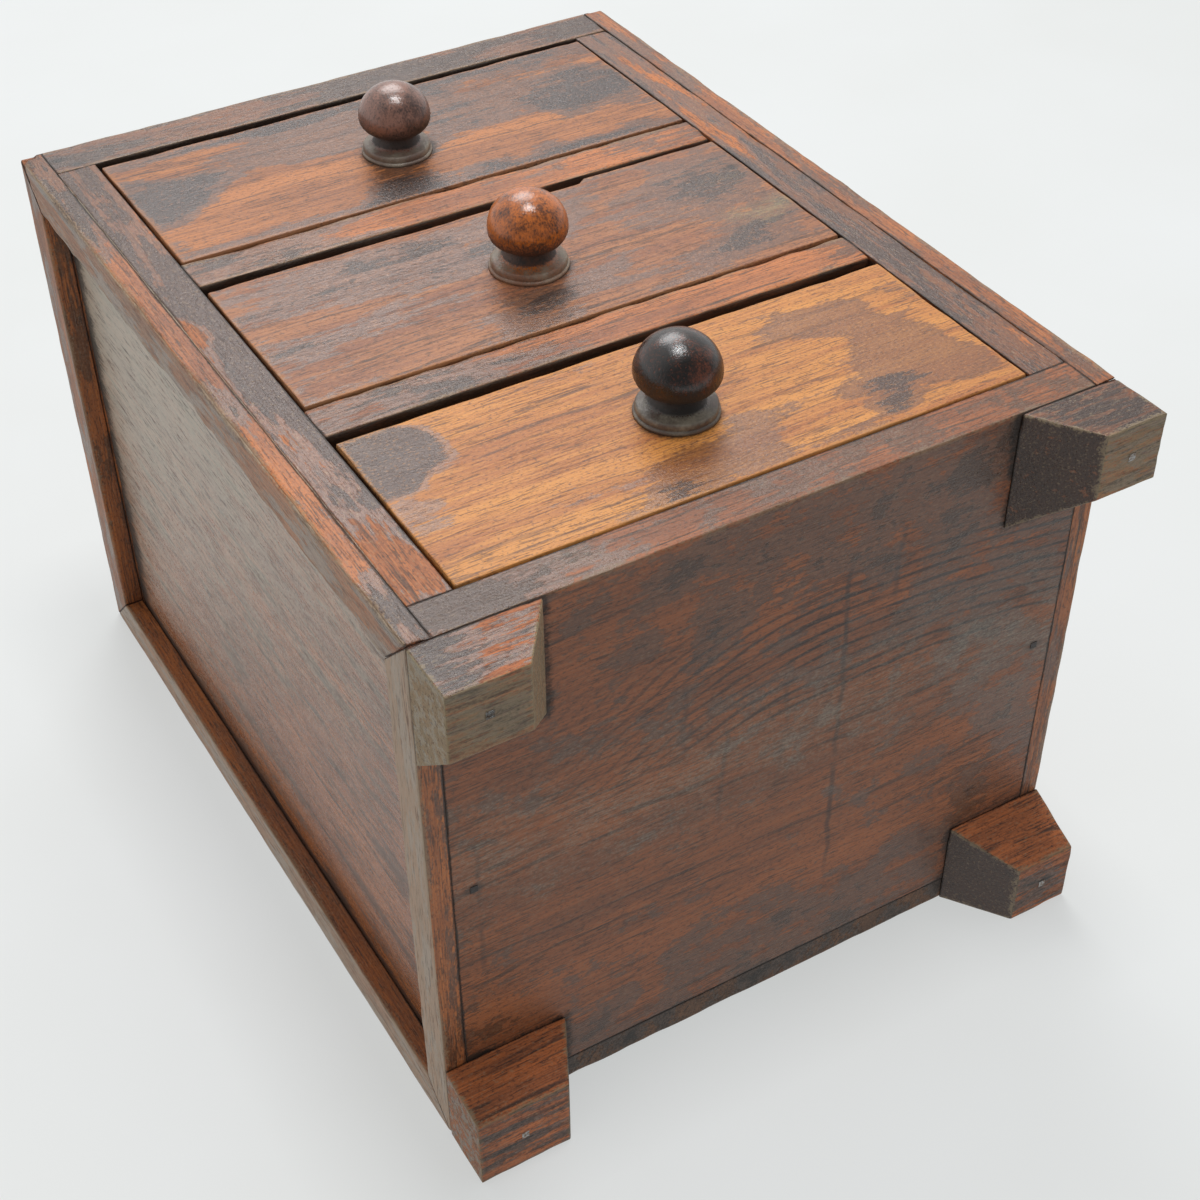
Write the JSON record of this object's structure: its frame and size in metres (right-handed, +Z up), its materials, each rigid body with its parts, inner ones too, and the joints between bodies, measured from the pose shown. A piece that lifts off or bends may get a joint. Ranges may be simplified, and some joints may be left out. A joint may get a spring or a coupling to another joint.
{
  "type": "wooden drawer box",
  "caption": "Small old wooden chest of drawers on wedge feet, with turned knobs, inset fronts and mitred frames on its sides.",
  "frame": {"origin": "on the surface under the feet, at the middle of the outline with the knobs and the drawers shut", "axes": "+Z up, -Y out of the front where the drawers open, +X to the viewer's right"},
  "size_m": [0.19, 0.1896, 0.2605],
  "materials": {
    "case_wood": "old dark varnish, worn on the edges",
    "front_wood": "worn varnish with dark patches",
    "inner_wood": "bare wood, darkened by age",
    "knob_wood": "turned and polished by use",
    "nail_iron": "dull iron"
  },
  "bodies": {
    "case": {"back_board": "inner_wood", "back_left_foot": "case_wood", "back_nails": "nail_iron", "back_right_foot": "case_wood", "bottom_board": "case_wood", "case_nails": "nail_iron", "foot_nails": "nail_iron", "front_left_foot": "case_wood", "front_right_foot": "case_wood", "left_back_strip": "case_wood", "left_bottom_strip": "case_wood", "left_front_strip": "case_wood", "left_side_board": "case_wood", "left_top_strip": "case_wood", "lower_shelf": "case_wood", "right_back_strip": "case_wood", "right_bottom_strip": "case_wood", "right_front_strip": "case_wood", "right_side_board": "case_wood", "right_top_strip": "case_wood", "top_board": "case_wood", "upper_shelf": "case_wood"},
    "top_drawer": {"top_drawer_back": "inner_wood", "top_drawer_bottom": "inner_wood", "top_drawer_front": "front_wood", "top_drawer_knob": "knob_wood", "top_drawer_left_side": "inner_wood", "top_drawer_nails": "nail_iron", "top_drawer_right_side": "inner_wood"},
    "middle_drawer": {"middle_drawer_back": "inner_wood", "middle_drawer_bottom": "inner_wood", "middle_drawer_front": "front_wood", "middle_drawer_knob": "knob_wood", "middle_drawer_left_side": "inner_wood", "middle_drawer_nails": "nail_iron", "middle_drawer_right_side": "inner_wood"},
    "bottom_drawer": {"bottom_drawer_back": "inner_wood", "bottom_drawer_bottom": "inner_wood", "bottom_drawer_front": "front_wood", "bottom_drawer_knob": "knob_wood", "bottom_drawer_left_side": "inner_wood", "bottom_drawer_nails": "nail_iron", "bottom_drawer_right_side": "inner_wood"}
  },
  "joints": [
    {"name": "top_drawer_slide", "type": "slide", "parent": "case", "child": "top_drawer", "axis": [0, -1, 0], "range_m": [0, 0.12]},
    {"name": "middle_drawer_slide", "type": "slide", "parent": "case", "child": "middle_drawer", "axis": [0, -1, 0], "range_m": [0, 0.12]},
    {"name": "bottom_drawer_slide", "type": "slide", "parent": "case", "child": "bottom_drawer", "axis": [0, -1, 0], "range_m": [0, 0.12]}
  ]
}
